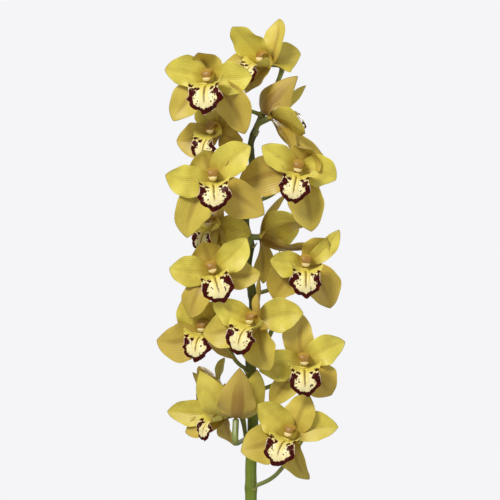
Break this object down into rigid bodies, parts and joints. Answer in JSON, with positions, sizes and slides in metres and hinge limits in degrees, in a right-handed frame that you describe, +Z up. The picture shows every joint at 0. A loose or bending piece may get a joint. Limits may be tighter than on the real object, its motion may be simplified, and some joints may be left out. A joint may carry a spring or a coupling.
{
  "type": "potted orchid",
  "caption": "Potted cymbidium orchid: an upright spray of yellow flowers with marked lips on a bare stem, strap leaves and bulbs at its foot, rooted in bark in a plain round pot.",
  "frame": {"origin": "middle of the pot's flat underside", "axes": "+Z up along the pot's axis and the flower stem, -Y the side the flowers face"},
  "size_m": [0.6606, 0.6149, 0.9106],
  "materials": {
    "tepal": "waxy yellow petals and sepals",
    "lip": "waxy cream lip with dark red marks",
    "stem": "smooth green",
    "sheath": "dry papery tan",
    "bulb": "ribbed green",
    "leaf": "satin dark green",
    "bark": "rough chips",
    "pot": "plain off-white glaze"
  },
  "bodies": {
    "root": {"flower_01_tepals": "tepal", "flower_01_lip": "lip", "flower_02_tepals": "tepal", "flower_02_lip": "lip", "flower_03_tepals": "tepal", "flower_03_lip": "lip", "flower_04_tepals": "tepal", "flower_04_lip": "lip", "flower_05_tepals": "tepal", "flower_05_lip": "lip", "flower_06_tepals": "tepal", "flower_06_lip": "lip", "flower_07_tepals": "tepal", "flower_07_lip": "lip", "flower_08_tepals": "tepal", "flower_08_lip": "lip", "flower_09_tepals": "tepal", "flower_09_lip": "lip", "flower_10_tepals": "tepal", "flower_10_lip": "lip", "flower_11_tepals": "tepal", "flower_11_lip": "lip", "flower_12_tepals": "tepal", "flower_12_lip": "lip", "flower_13_tepals": "tepal", "flower_13_lip": "lip", "flower_14_tepals": "tepal", "flower_14_lip": "lip", "flower_15_tepals": "tepal", "flower_15_lip": "lip", "flower_16_tepals": "tepal", "flower_16_lip": "lip", "flower_17_tepals": "tepal", "flower_17_lip": "lip", "flower_stem": "stem", "sheath_1": "sheath", "sheath_2": "sheath", "sheath_3": "sheath", "pseudobulb_1": "bulb", "pseudobulb_2": "bulb", "pseudobulb_3": "bulb", "leaf_01": "leaf", "leaf_02": "leaf", "leaf_03": "leaf", "leaf_04": "leaf", "leaf_05": "leaf", "leaf_06": "leaf", "leaf_07": "leaf", "leaf_08": "leaf", "leaf_09": "leaf", "potting_bark": "bark", "pot": "pot"}
  },
  "joints": []
}
